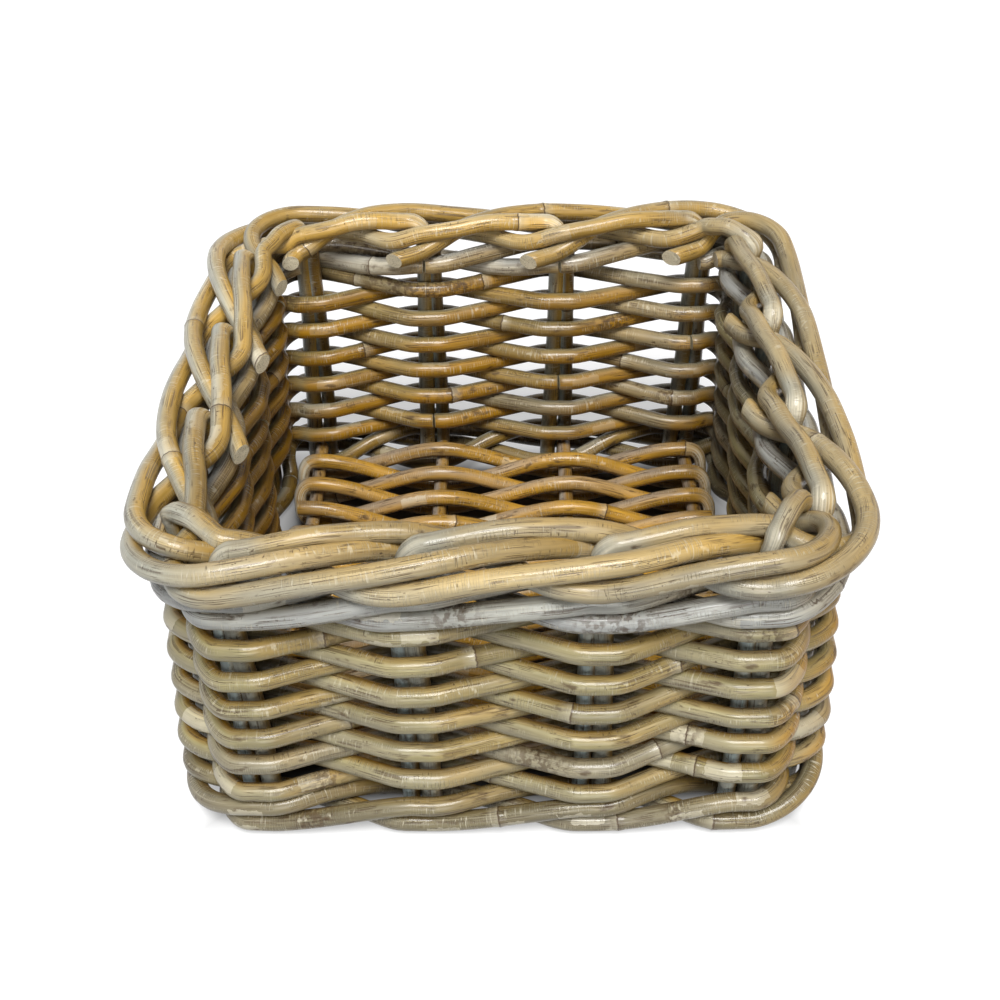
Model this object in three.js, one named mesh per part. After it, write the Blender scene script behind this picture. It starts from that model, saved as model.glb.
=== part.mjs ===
// A square open basket woven from round rattan rods: stakes stand in pairs round the wall, single rods are
// woven in and out of them, a three-rod wale closes the weave at its foot and at its head, and one stake of
// each pair bends over at the rim and is plaited into the border. Millimetres, +Z up. The origin is at the
// middle of the foot, on the surface that the basket stands on.
import * as THREE from "three";

// The wall, seen from above. These lengths run to the line through the middle of the stakes.
const wallHalfWidth = 150;
const wallHalfDepth = 146;
const cornerRadius = 28;
const cornerToPair = 30; // from the wall's square corner to the nearest pair of stakes
const pairsPerSide = 4;

// The rods
const stakeDiameter = 10.5; // both stakes of a pair
const weaverDiameter = 10;
const waleDiameter = 10.5;
const baseStickDiameter = 9;
const baseWeaverDiameter = 10;
const clearance = 0.3; // between rods that bear on each other
const baseClearance = 0.2; // between the base sticks and the wale that carries them
const endGap = 0.5; // from the middle of a pair to a rod's end behind it
const pairFlat = 1.7; // a rod lies flat against a pair for this far past the middle of each stake

// The wall's layers, from the foot up
const footHeight = 2.2; // the stakes stand out this far below the bottom wale
const waleSpread = 2; // between a wale rod that lies low outside and the one that lies high over it
const waleBulge = 1; // how far a rising wale rod stands off the rod that dives behind it
const waleGap = 0.4; // between a wale and the weave beside it
const rowCount = 12;
const rowGap = 0.3;

// The border
const bendRadius = 9; // of a stake's own bend, to the middle of the rod

// The course of a stake along the rim, once it has bent over. Each row is a place on the way, in pairs past the
// stake's own pair, then how far outside the wall's line the rod's middle lies there, and how far above the
// wale, both in stake diameters.
const borderCourse = [
  [0.12, 0, 1.4],
  [0.5, -0.6, 1.75],
  [0.75, -1.05, 1.6],
  [1, -1.1, 1.4],
  [1.25, -1.05, 0.65],
  [1.5, 0.25, 0.45],
  [1.75, 1.45, 0.4],
  [2, 1.8, 0.45],
  [2.5, 1.8, 1.15],
  [3, 1.55, 1.6],
  [3.25, 1.2, 1.65],
  [3.5, 0.75, 1.65],
  [3.75, 0, 1.1],
  [4, -1.25, 0],
  [4.22, -2.05, -0.3],
];

// The base
const basePassGap = 1.9; // wanted between two passes of the base weaver, which is evened out
const baseWeaverCount = 4;
const baseEndLength = 8; // a base weaver's cut end stands out past the outer stick

// Facets: rods are six-sided, and a wave or a plait is sampled at these steps
const rodSides = 6;
const waleSteps = 3;
const plaitSteps = 6;
const bendSteps = 3;
const cornerSteps = 4;
const baseTurnSteps = 4;

// Where the rods begin: no two ends of neighbouring rows lie on the same pair
const pairsBetweenRowStarts = 5; // from one row's ends to the next row's
const bottomWaleFirstPair = 12; // index of the pair at which the first rod of the wale begins
const topWaleFirstPair = 9;

// Finishes, from the lacquered rods
const rowFinish = { color: 0xb5a679, roughness: 0.5 };
const waleFinish = { color: 0xaaa596, roughness: 0.45 };
const bypassFinish = { color: 0x8f9079, roughness: 0.55 };
const borderFinish = { color: 0xc9b183, roughness: 0.45 };
const baseStickFinish = { color: 0xa98c52, roughness: 0.55 };
const baseWeaverFinish = { color: 0xb3935a, roughness: 0.5 };

const sideCount = 4;
const pairCount = sideCount * pairsPerSide;
const sideNames = ["front", "right", "back", "left"];
const worldUp = new THREE.Vector3(0, 0, 1);

// A square side is straight for twice this, and its neighbour lies this far out.
const sideHalf = (side) => (side % 2 ? wallHalfDepth : wallHalfWidth);
const sideReach = (side) => (side % 2 ? wallHalfWidth : wallHalfDepth);
const straightHalf = (side) => sideHalf(side) - cornerRadius;
const cornerArc = (Math.PI / 2) * cornerRadius;

function sideStart(side) {
  let arc = 0;
  for (let before = 0; before < side; before++) arc += 2 * straightHalf(before) + cornerArc;
  return arc;
}
const wallLength = sideStart(sideCount);

// The point and the outward direction at a distance along the wall's line, which runs anticlockwise seen
// from above, from the left end of the front.
function onWall(arc) {
  let rest = ((arc % wallLength) + wallLength) % wallLength;
  let side = 0;
  while (rest > 2 * straightHalf(side) + cornerArc) {
    rest -= 2 * straightHalf(side) + cornerArc;
    side++;
  }
  const turn = (side * Math.PI) / 2;
  const along = new THREE.Vector3(Math.cos(turn), Math.sin(turn), 0);
  const out = new THREE.Vector3(Math.sin(turn), -Math.cos(turn), 0);
  if (rest <= 2 * straightHalf(side)) {
    const place = out.clone().multiplyScalar(sideReach(side));
    return { place: place.addScaledVector(along, rest - straightHalf(side)), out };
  }
  const angle = (rest - 2 * straightHalf(side)) / cornerRadius;
  const outward = out.clone().multiplyScalar(Math.cos(angle)).addScaledVector(along, Math.sin(angle));
  const place = along.clone().multiplyScalar(straightHalf(side));
  place.addScaledVector(out, sideReach(side) - cornerRadius);
  return { place: place.addScaledVector(outward, cornerRadius), out: outward };
}

// The distance along the wall of pair number index. Index 0 is the front left pair; whole turns may be added.
const pairSpacing = (side) => (2 * (sideHalf(side) - cornerToPair)) / (pairsPerSide - 1);
function pairArc(index) {
  const turns = Math.floor(index / pairCount);
  const inTurn = index - turns * pairCount;
  const side = Math.floor(inTurn / pairsPerSide);
  const offset = ((inTurn % pairsPerSide) - (pairsPerSide - 1) / 2) * pairSpacing(side);
  return turns * wallLength + sideStart(side) + straightHalf(side) + offset;
}

// The same for a place between two pairs, such as 2.5.
function stationArc(station) {
  const index = Math.floor(station);
  return THREE.MathUtils.lerp(pairArc(index), pairArc(index + 1), station - index);
}

// A ring of a rod in the wall: its middle lies outward of the wall's line by offset, at a height.
function wallRing(arc, offset, height) {
  const { place, out } = onWall(arc);
  const middle = place.clone().addScaledVector(out, offset);
  middle.z = height;
  return { middle, toward: out };
}

// A closed rod through its rings. Each ring faces halfway between the stretches that it joins, and has a
// corner towards the ring's own direction.
function rodGeometry(rings, diameter) {
  const positions = [];
  const faces = [];
  rings.forEach(({ middle, toward }, index) => {
    const before = rings[Math.max(index - 1, 0)].middle;
    const after = rings[Math.min(index + 1, rings.length - 1)].middle;
    const back = middle.clone().sub(before).normalize();
    const ahead = after.clone().sub(middle).normalize();
    const course = back.add(ahead).normalize();
    const first = toward.clone().addScaledVector(course, -toward.dot(course)).normalize();
    const second = new THREE.Vector3().crossVectors(course, first);
    for (let corner = 0; corner < rodSides; corner++) {
      const angle = (corner / rodSides) * 2 * Math.PI;
      const point = middle.clone().addScaledVector(first, (diameter / 2) * Math.cos(angle));
      point.addScaledVector(second, (diameter / 2) * Math.sin(angle));
      positions.push(point.x, point.y, point.z);
    }
  });
  const last = (rings.length - 1) * rodSides;
  for (let corner = 0; corner < rodSides; corner++) {
    const next = (corner + 1) % rodSides;
    for (let start = 0; start < last; start += rodSides) {
      faces.push(start + corner, start + next, start + rodSides + next);
      faces.push(start + corner, start + rodSides + next, start + rodSides + corner);
    }
  }
  for (let corner = 1; corner < rodSides - 1; corner++) {
    faces.push(0, corner + 1, corner);
    faces.push(last, last + corner, last + corner + 1);
  }
  const geometry = new THREE.BufferGeometry();
  geometry.setAttribute("position", new THREE.Float32BufferAttribute(positions, 3));
  geometry.setIndex(faces);
  return geometry;
}

const basket = new THREE.Group();
function addRod(name, rings, diameter, finish) {
  const geometry = rodGeometry(rings, diameter);
  geometry.computeVertexNormals();
  const mesh = new THREE.Mesh(geometry, new THREE.MeshStandardMaterial({ ...finish, metalness: 0 }));
  mesh.name = name;
  basket.add(mesh);
}

const ease = (x) => THREE.MathUtils.smoothstep(x, 0, 1);

// The value at a place in a list of [place, value] keys, with an eased passage from key to key.
function keyed(keys, at) {
  const next = keys.findIndex(([place]) => at < place);
  if (next === 0) return keys[0][1];
  if (next < 0) return keys[keys.length - 1][1];
  const [fromPlace, from] = keys[next - 1];
  const [toPlace, to] = keys[next];
  return THREE.MathUtils.lerp(from, to, ease((at - fromPlace) / (toPlace - fromPlace)));
}

// Heights and offsets that follow from the sizes above
const pairHalf = (stakeDiameter + clearance) / 2;
const flatHalf = pairHalf + pairFlat;
const weaverOffset = (stakeDiameter + weaverDiameter) / 2 + clearance;
const waleOffset = (stakeDiameter + waleDiameter) / 2 + clearance;
const waleRise = waleDiameter + waleSpread;
const bottomWaleLow = footHeight + waleDiameter / 2;
const bottomWaleHigh = bottomWaleLow + waleRise;
const firstRow = bottomWaleHigh + (waleDiameter + weaverDiameter) / 2 + waleGap;
const rowHeight = (row) => firstRow + row * (weaverDiameter + rowGap);
const topWaleLow = rowHeight(rowCount - 1) + (waleDiameter + weaverDiameter) / 2 + waleGap;
const topWaleHigh = topWaleLow + waleRise;
const bypassTop = topWaleHigh + waleDiameter / 2;
const borderOffsets = borderCourse.map(([place, offset]) => [place, offset * stakeDiameter]);
const borderHeights = borderCourse.map(([place, , rise]) => [place, bypassTop + rise * stakeDiameter]);

// Single rods, one to a row. A row is outside the even pairs or outside the odd ones, and its two ends meet
// behind a pair that it passes inside.
function addRowRod(row) {
  const number = row + 1;
  const firstPair = (pairsBetweenRowStarts * number) % pairCount;
  const outsideParity = row % 2;
  const rings = [wallRing(pairArc(firstPair) + endGap, -weaverOffset, rowHeight(row))];
  for (let pair = firstPair; pair < firstPair + pairCount; pair++) {
    const offset = pair % 2 === outsideParity ? weaverOffset : -weaverOffset;
    const leaves = pairArc(pair) + flatHalf;
    const arrives = pairArc(pair + 1) - flatHalf;
    const turnsCorner = (pair + 1) % pairsPerSide === 0;
    const steps = turnsCorner ? cornerSteps : 1;
    for (let step = 0; step <= steps; step++) {
      const part = step / steps;
      const arc = THREE.MathUtils.lerp(leaves, arrives, part);
      rings.push(wallRing(arc, offset * (1 - 2 * ease(part)), rowHeight(row)));
    }
  }
  rings.push(wallRing(pairArc(firstPair + pairCount) - endGap, -weaverOffset, rowHeight(row)));
  addRod(`row_rod_${String(number).padStart(2, "0")}`, rings, weaverDiameter, rowFinish);
}
for (let row = 0; row < rowCount; row++) addRowRod(row);

// One round of three-rod wale. Each rod goes inside one pair, comes out low, lies low outside the next pair,
// climbs over the rod that follows it, lies high outside one more pair and dives inside again.
function addWale(prefix, low, inside, firstPair) {
  const high = low + waleRise;
  for (let rod = 0; rod < 3; rod++) {
    const start = firstPair + rod;
    const rings = [wallRing(pairArc(start) + endGap, -waleOffset, inside)];
    for (let interval = 0; interval < pairCount - 1; interval++) {
      const leaves = pairArc(start + interval) + flatHalf;
      const arrives = pairArc(start + interval + 1) - flatHalf;
      for (let step = 0; step <= waleSteps; step++) {
        const part = step / waleSteps;
        const places = [
          [waleOffset * (2 * ease(part) - 1), keyed([[0, inside], [0.5, low]], part)],
          [waleOffset + waleBulge * Math.sin(Math.PI * part), keyed([[0, low], [1, high]], part)],
          [waleOffset * (1 - 2 * ease(part)), keyed([[0.5, high], [1, inside]], part)],
        ];
        const [offset, height] = places[interval % 3];
        rings.push(wallRing(THREE.MathUtils.lerp(leaves, arrives, part), offset, height));
      }
    }
    rings.push(wallRing(pairArc(start + pairCount - 1) - endGap, -waleOffset, inside));
    addRod(`${prefix}_${rod + 1}`, rings, waleDiameter, waleFinish);
  }
}
addWale("bottom_wale_rod", bottomWaleLow, bottomWaleLow, bottomWaleFirstPair);
addWale("top_wale_rod", topWaleLow, (topWaleLow + topWaleHigh) / 2, topWaleFirstPair);

// Bypass stakes: straight rods, each beside a border stake, cut off under the border
function addBypassStake(name, pair) {
  const arc = pairArc(pair) - pairHalf;
  addRod(name, [wallRing(arc, 0, 0), wallRing(arc, 0, bypassTop)], stakeDiameter, bypassFinish);
}

// The value at a place on a smooth curve through [place, value] keys
function through(keys, at) {
  const next = Math.min(Math.max(keys.findIndex(([place]) => at < place), 1), keys.length - 1);
  if (at >= keys[keys.length - 1][0]) return keys[keys.length - 1][1];
  const slope = (index) => {
    const [fromPlace, from] = keys[Math.max(index - 1, 0)];
    const [toPlace, to] = keys[Math.min(index + 1, keys.length - 1)];
    return (to - from) / (toPlace - fromPlace);
  };
  const [fromPlace, from] = keys[next - 1];
  const [toPlace, to] = keys[next];
  const reach = toPlace - fromPlace;
  const part = (at - fromPlace) / reach;
  const rest = 1 - part;
  const level = from * rest * rest * (1 + 2 * part) + to * part * part * (1 + 2 * rest);
  return level + reach * part * rest * (slope(next - 1) * rest - slope(next) * part);
}

// Border stakes. At the rim a stake bends over in the direction of travel, runs along the inner edge past the
// first pair, dives between the first and the second pair and comes out low over the wale, climbs outside the
// second and the third, goes in behind the bend of the fourth, and ends just past it.
function addBorderStake(name, pair) {
  const foot = pairArc(pair) + pairHalf;
  const bendTop = borderHeights[0][1];
  const rings = [wallRing(foot, 0, 0), wallRing(foot, 0, bendTop - bendRadius)];
  for (let step = 1; step <= bendSteps; step++) {
    const angle = (step / bendSteps) * (Math.PI / 2);
    const arc = foot + bendRadius * (1 - Math.cos(angle));
    rings.push(wallRing(arc, 0, bendTop - bendRadius * (1 - Math.sin(angle))));
  }
  const bendEnds = (2 * bendRadius) / (pairArc(pair + 1) - pairArc(pair));
  const tailEnd = borderCourse[borderCourse.length - 1][0];
  const steps = Math.round(tailEnd * plaitSteps);
  for (let step = 0; step <= steps; step++) {
    const travel = THREE.MathUtils.lerp(bendEnds, tailEnd, step / steps);
    const arc = stationArc(pair + travel) + pairHalf * (1 - ease(travel));
    rings.push(wallRing(arc, through(borderOffsets, travel), through(borderHeights, travel)));
  }
  addRod(name, rings, stakeDiameter, borderFinish);
}

for (let pair = 0; pair < pairCount; pair++) {
  const place = `${sideNames[Math.floor(pair / pairsPerSide)]}_${(pair % pairsPerSide) + 1}`;
  addBypassStake(`bypass_stake_${place}`, pair);
  addBorderStake(`border_stake_${place}`, pair);
}

// The base: one stick in line with each front pair. Its ends lie on the bottom wale's inner rods and meet
// the stakes of the front and the back pair.
const baseStickHeight = bottomWaleLow + (waleDiameter + baseStickDiameter) / 2 + baseClearance;
const baseStickHalf = wallHalfDepth - stakeDiameter / 2 - clearance;
const baseStickX = (stick) => (stick - (pairsPerSide - 1) / 2) * pairSpacing(0);
for (let stick = 0; stick < pairsPerSide; stick++) {
  const rings = [-baseStickHalf, baseStickHalf].map((y) => ({
    middle: new THREE.Vector3(baseStickX(stick), y, baseStickHeight),
    toward: worldUp,
  }));
  addRod(`base_stick_${stick + 1}`, rings, baseStickDiameter, baseStickFinish);
}

// Base weavers: long rods woven left to right over and under the sticks. At the outer stick a weaver turns
// round the stick and comes back on its other side. The passes are shared out evenly among the rods.
const baseSwing = (baseStickDiameter + baseWeaverDiameter) / 2 + clearance;
const basePassReach =
  wallHalfDepth - waleOffset - waleDiameter / 2 - clearance - baseWeaverDiameter / 2;
const basePassCount = Math.floor((2 * basePassReach) / (baseWeaverDiameter + basePassGap)) + 1;
const basePassY = (pass) => basePassReach * ((2 * pass) / (basePassCount - 1) - 1);

function basePoint(x, y, rise) {
  return { middle: new THREE.Vector3(x, y, baseStickHeight + rise), toward: worldUp };
}

function addBaseWeaver(number, firstPass, lastPass) {
  const rings = [];
  const outer = baseStickX(pairsPerSide - 1);
  for (let pass = firstPass; pass <= lastPass; pass++) {
    const heading = (pass - firstPass) % 2 ? -1 : 1;
    const y = basePassY(pass);
    const startsOver = (pass + (heading > 0 ? 0 : pairsPerSide - 1)) % 2 ? -1 : 1;
    if (pass === firstPass) {
      rings.push(basePoint(-heading * (outer + baseEndLength), y, startsOver * baseSwing));
    }
    for (let stick = 0; stick < pairsPerSide; stick++) {
      const side = stick % 2 ? -startsOver : startsOver;
      rings.push(basePoint(heading * baseStickX(stick), y, side * baseSwing));
    }
    const endsOver = (pairsPerSide - 1) % 2 ? -startsOver : startsOver;
    if (pass === lastPass) {
      rings.push(basePoint(heading * (outer + baseEndLength), y, endsOver * baseSwing));
      continue;
    }
    for (let step = 1; step < baseTurnSteps; step++) {
      const angle = (step / baseTurnSteps) * Math.PI;
      const x = heading * (outer + baseSwing * Math.sin(angle));
      const across = THREE.MathUtils.lerp(y, basePassY(pass + 1), step / baseTurnSteps);
      const ring = basePoint(x, across, endsOver * baseSwing * Math.cos(angle));
      rings.push({ middle: ring.middle, toward: new THREE.Vector3(0, 1, 0) });
    }
  }
  addRod(`base_weaver_${number}`, rings, baseWeaverDiameter, baseWeaverFinish);
}
const passesBefore = (weaver) => Math.round((basePassCount * weaver) / baseWeaverCount);
for (let weaver = 0; weaver < baseWeaverCount; weaver++) {
  addBaseWeaver(weaver + 1, passesBefore(weaver), passesBefore(weaver + 1) - 1);
}

export default basket;
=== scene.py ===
import math
import random

import bpy
from mathutils import Matrix, Vector


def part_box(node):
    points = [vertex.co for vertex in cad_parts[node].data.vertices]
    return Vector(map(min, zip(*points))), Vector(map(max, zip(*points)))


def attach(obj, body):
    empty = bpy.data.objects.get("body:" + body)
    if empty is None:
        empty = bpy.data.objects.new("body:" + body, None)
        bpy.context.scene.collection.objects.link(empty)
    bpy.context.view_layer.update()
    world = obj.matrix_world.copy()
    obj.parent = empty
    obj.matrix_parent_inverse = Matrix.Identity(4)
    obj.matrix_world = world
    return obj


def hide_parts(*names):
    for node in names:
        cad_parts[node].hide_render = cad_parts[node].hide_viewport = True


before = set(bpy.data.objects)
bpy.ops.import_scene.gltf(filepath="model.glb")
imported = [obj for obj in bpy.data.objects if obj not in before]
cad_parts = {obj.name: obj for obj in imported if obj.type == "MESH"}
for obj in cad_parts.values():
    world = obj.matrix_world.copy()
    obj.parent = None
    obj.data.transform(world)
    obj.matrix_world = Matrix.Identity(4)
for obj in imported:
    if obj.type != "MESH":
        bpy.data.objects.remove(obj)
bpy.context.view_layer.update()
mm = 0.001

# The camera stands where the photograph was taken from: over the front wall, looking down into the basket.
# The photograph is square, so the lens is given on the sensor's whole width.
camera_place = Vector((8.4, -586.2, 597.6)) * mm
camera_pitch = 0.7135
camera_yaw = -0.0151
camera_roll = -0.0173
forward = Vector((
    math.sin(camera_yaw) * math.cos(camera_pitch),
    math.cos(camera_yaw) * math.cos(camera_pitch),
    -math.sin(camera_pitch),
))
level_right = Vector((math.cos(camera_yaw), -math.sin(camera_yaw), 0))
upright = level_right.cross(forward)
right = math.cos(camera_roll) * level_right + math.sin(camera_roll) * upright
upward = math.cos(camera_roll) * upright - math.sin(camera_roll) * level_right
lens = bpy.data.cameras.new("camera")
lens.sensor_width = 36
lens.lens = 49.9
lens.clip_start = 10 * mm
camera = bpy.data.objects.new("camera", lens)
turned = Matrix((right, upward, -forward)).transposed().to_4x4()
camera.matrix_world = Matrix.Translation(camera_place) @ turned
bpy.context.scene.collection.objects.link(camera)
bpy.context.scene.camera = camera
bpy.context.scene.view_settings.view_transform = "Standard"


# The studio: a pale floor, an even pale surround, one soft lamp from above the viewer, and a broader,
# weaker one from low in front. The surround and the floor look white, but throw only little light back on
# the rods. Under the basket the floor is painted dark, a painted shadow.
def feed(tree, socket, value):
    if isinstance(value, bpy.types.NodeSocket):
        tree.links.new(value, socket)
    else:
        socket.default_value = value


def place(tree, kind, inputs=None, **settings):
    """A new node with these settings, and with these values or outputs on its inputs."""
    node = tree.nodes.new(kind)
    for name, value in settings.items():
        setattr(node, name, value)
    for key, value in (inputs or {}).items():
        feed(tree, node.inputs[key], value)
    return node


def reckon(tree, operation, *terms, clamp=False):
    """What a Math node makes of the terms."""
    node = place(tree, "ShaderNodeMath", dict(enumerate(terms)), operation=operation, use_clamp=clamp)
    return node.outputs[0]


def step_between(tree, value, low, high):
    """From 0 where the value is low to 1 where it is high."""
    return place(tree, "ShaderNodeMapRange", {"Value": value, "From Min": low, "From Max": high}).outputs[0]


def between(tree, share, low, high):
    """From low where the share is 0 to high where it is 1."""
    return place(tree, "ShaderNodeMapRange", {"Value": share, "To Min": low, "To Max": high}).outputs[0]


def seen_straight(tree):
    """1 where the viewer sees the surface, straight or mirrored, and 0 where it only throws light."""
    rays = tree.nodes.new("ShaderNodeLightPath")
    seen = reckon(tree, "ADD", rays.outputs["Is Camera Ray"], rays.outputs["Is Glossy Ray"])
    return reckon(tree, "ADD", seen, rays.outputs["Is Transmission Ray"], clamp=True)


surround_light = 0.08
floor_bounce = 0.05
floor_white = 0.5
# Painted shadow: the floor's tone under the basket
painted_floor_shadow = 0.12
floor_glow = 0.55
covered_half = 130 * mm
open_half = 160 * mm
floor_size = 12
# The name of each lamp, its strength, its spread in degrees, and the way to it
lamps = (
    ("high_lamp", 3.75, 26, Vector((0.03, -0.47, 1.0))),
    ("low_lamp", 1.2, 30, Vector((0.05, -1.0, 0.32))),
)

world = bpy.data.worlds.new("surround")
bpy.context.scene.world = world
world.use_nodes = True
surround = world.node_tree.nodes["Background"]
surround_shown = between(world.node_tree, seen_straight(world.node_tree), surround_light, 1.0)
feed(world.node_tree, surround.inputs["Strength"], surround_shown)
surround.inputs["Color"].default_value = (1, 1, 1, 1)

floor_finish = bpy.data.materials.new("pale_floor")
floor_finish.use_nodes = True
floor_tree = floor_finish.node_tree
floor_shader = floor_tree.nodes["Principled BSDF"]
floor_shader.inputs["Roughness"].default_value = 1.0
floor_shader.inputs["Specular IOR Level"].default_value = 0.0
floor_shader.inputs["Emission Color"].default_value = (1, 1, 1, 1)
floor_place = place(floor_tree, "ShaderNodeTexCoord").outputs["Object"]
floor_x, floor_y, _ = place(floor_tree, "ShaderNodeSeparateXYZ", {"Vector": floor_place}).outputs
from_middle_x = reckon(floor_tree, "ABSOLUTE", floor_x)
from_middle_y = reckon(floor_tree, "ABSOLUTE", floor_y)
from_middle = reckon(floor_tree, "MAXIMUM", from_middle_x, from_middle_y)
# Painted shadow: under the basket the floor is painted dark and does not glow
open_share = step_between(floor_tree, from_middle, covered_half, open_half)
floor_seen = seen_straight(floor_tree)
open_glow = reckon(floor_tree, "MULTIPLY", open_share, floor_glow)
glow_seen = reckon(floor_tree, "MULTIPLY", floor_seen, open_glow)
feed(floor_tree, floor_shader.inputs["Emission Strength"], glow_seen)
whiteness = between(floor_tree, open_share, painted_floor_shadow, floor_white)
floor_tone = between(floor_tree, floor_seen, floor_bounce, whiteness)
feed(floor_tree, floor_shader.inputs["Base Color"], floor_tone)
floor_mesh = bpy.data.meshes.new("floor")
corner_ways = ((-1, -1), (1, -1), (1, 1), (-1, 1))
floor_corners = [(x * floor_size / 2, y * floor_size / 2, 0) for x, y in corner_ways]
floor_mesh.from_pydata(floor_corners, [], [(0, 1, 2, 3)])
floor_mesh.materials.append(floor_finish)
floor = bpy.data.objects.new("floor", floor_mesh)
bpy.context.scene.collection.objects.link(floor)

for name, energy, spread, direction in lamps:
    lamp_data = bpy.data.lights.new(name, "SUN")
    lamp_data.energy = energy
    lamp_data.angle = math.radians(spread)
    lamp = bpy.data.objects.new(name, lamp_data)
    lamp.rotation_euler = direction.to_track_quat("Z", "Y").to_euler()
    bpy.context.scene.collection.objects.link(lamp)


# The sticks of the base: straight canes from front to back, which lie on the bottom wale. All rods of the
# basket are peeled rattan canes of 9 to 11 mm, and this section makes what they share: the cane's body,
# swept along its own path, and its lacquered skin.
def vector_reckon(tree, operation, *terms, scale=None):
    node = place(tree, "ShaderNodeVectorMath", dict(enumerate(terms)), operation=operation)
    if scale is not None:
        feed(tree, node.inputs["Scale"], scale)
    return node.outputs["Value" if operation in ("DOT_PRODUCT", "LENGTH") else "Vector"]


def noise_at(tree, vector, stretch, detail=2.0):
    spread = vector_reckon(tree, "MULTIPLY", vector, stretch)
    return place(tree, "ShaderNodeTexNoise", {"Vector": spread, "Scale": 1.0, "Detail": detail}).outputs[0]


def cane_body_tree():
    """The body of a cane: a round section swept along its path, with its joints, bends and cut ends."""
    noise_gain = 4.0
    sway_full_height = 30 * mm
    edge_width = 0.1 * mm
    edge_wear = -0.08
    bend_widening = 0.12
    bend_thinning = -0.34
    # Painted light: the way, to the right, from which warm light is painted on the skin
    painted_light_way = (2.2, 0.0, 0.0)
    # Painted shade on skin that looks down
    underside_painted_shade = -0.35
    cut_width = 0.01 * mm
    tree = bpy.data.node_groups.new("cane_body", "GeometryNodeTree")
    sizes = {
        "Diameter": 10 * mm, "Ring Spacing": 1.6 * mm, "Unevenness": 0.04, "Joint Swell": 0.45 * mm,
        "Joint Width": 1.6 * mm, "Sway": 1.5 * mm, "Sway Size": 110 * mm, "Cut Slant": 0.15, "Seed": 0.0,
    }
    tree.interface.new_socket("Geometry", in_out="INPUT", socket_type="NodeSocketGeometry")
    for name, value in sizes.items():
        tree.interface.new_socket(name, in_out="INPUT", socket_type="NodeSocketFloat").default_value = value
    tree.interface.new_socket("Sides", in_out="INPUT", socket_type="NodeSocketInt").default_value = 18
    tree.interface.new_socket("Material", in_out="INPUT", socket_type="NodeSocketMaterial")
    tree.interface.new_socket("Geometry", in_out="OUTPUT", socket_type="NodeSocketGeometry")
    given = tree.nodes.new("NodeGroupInput").outputs

    def named(name, kind="FLOAT"):
        return place(tree, "GeometryNodeInputNamedAttribute", {"Name": name}, data_type=kind).outputs[0]

    def kept(geometry, **fields):
        node = tree.nodes.new("GeometryNodeCaptureAttribute")
        for name, (kind, field) in fields.items():
            node.capture_items.new(kind, name)
            tree.links.new(field, node.inputs[name])
        tree.links.new(geometry, node.inputs["Geometry"])
        return node.outputs

    curve = place(tree, "GeometryNodeMeshToCurve", {"Mesh": given["Geometry"]}).outputs[0]
    rings = place(tree, "GeometryNodeResampleCurve", {
        "Curve": curve, "Length": given["Ring Spacing"],
    }, mode="LENGTH")
    position = tree.nodes.new("GeometryNodeInputPosition").outputs[0]

    # The whole basket is a little out of true: one slow drift moves neighbouring rods together.
    drift_scale = reckon(tree, "DIVIDE", 1.0, given["Sway Size"])
    drift_place = vector_reckon(tree, "SCALE", position, scale=drift_scale)
    drift = place(tree, "ShaderNodeTexNoise", {"Vector": drift_place, "Scale": 1.0, "Detail": 1.0})
    centred = vector_reckon(tree, "SUBTRACT", drift.outputs["Color"], (0.5, 0.5, 0.5))
    height = place(tree, "ShaderNodeSeparateXYZ", {"Vector": position}).outputs["Z"]
    lifted = step_between(tree, height, 0.0, sway_full_height)
    sway = reckon(tree, "MULTIPLY", given["Sway"], noise_gain)
    swayed = vector_reckon(tree, "SCALE", centred, scale=sway)
    grounded = place(tree, "ShaderNodeCombineXYZ", {"X": 1.0, "Y": 1.0, "Z": lifted}).outputs[0]
    moved = place(tree, "GeometryNodeSetPosition", {
        "Geometry": rings.outputs[0], "Offset": vector_reckon(tree, "MULTIPLY", swayed, grounded),
    })

    along = tree.nodes.new("GeometryNodeSplineParameter").outputs["Length"]
    whole = tree.nodes.new("GeometryNodeSplineLength").outputs["Length"]
    from_end = reckon(tree, "MINIMUM", along, reckon(tree, "SUBTRACT", whole, along))
    to_tip = reckon(tree, "SUBTRACT", whole, along)
    course = tree.nodes.new("GeometryNodeInputTangent").outputs[0]
    path = kept(
        moved.outputs[0], centre=("VECTOR", position), course=("VECTOR", course), along=("FLOAT", along),
        from_end=("FLOAT", from_end), to_tip=("FLOAT", to_tip),
    )
    radius = reckon(tree, "MULTIPLY", given["Diameter"], 0.5)
    circle = place(tree, "GeometryNodeCurvePrimitiveCircle", {
        "Resolution": given["Sides"], "Radius": radius,
    })
    section = kept(circle.outputs[0], around=("VECTOR", position))
    swept = place(tree, "GeometryNodeCurveToMesh", {
        "Curve": path["Geometry"], "Profile Curve": section["Geometry"], "Fill Caps": True,
    })

    # Where a point lies on the skin, in radii: round the cane, and along it
    round_it = vector_reckon(tree, "SCALE", section["around"], scale=reckon(tree, "DIVIDE", 1.0, radius))
    along_it = reckon(tree, "ADD", reckon(tree, "DIVIDE", path["along"], radius), given["Seed"])
    skin = vector_reckon(
        tree, "ADD", round_it, place(tree, "ShaderNodeCombineXYZ", {"Z": along_it}).outputs[0],
    )
    from_centre = vector_reckon(tree, "SUBTRACT", position, path["centre"])

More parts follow.
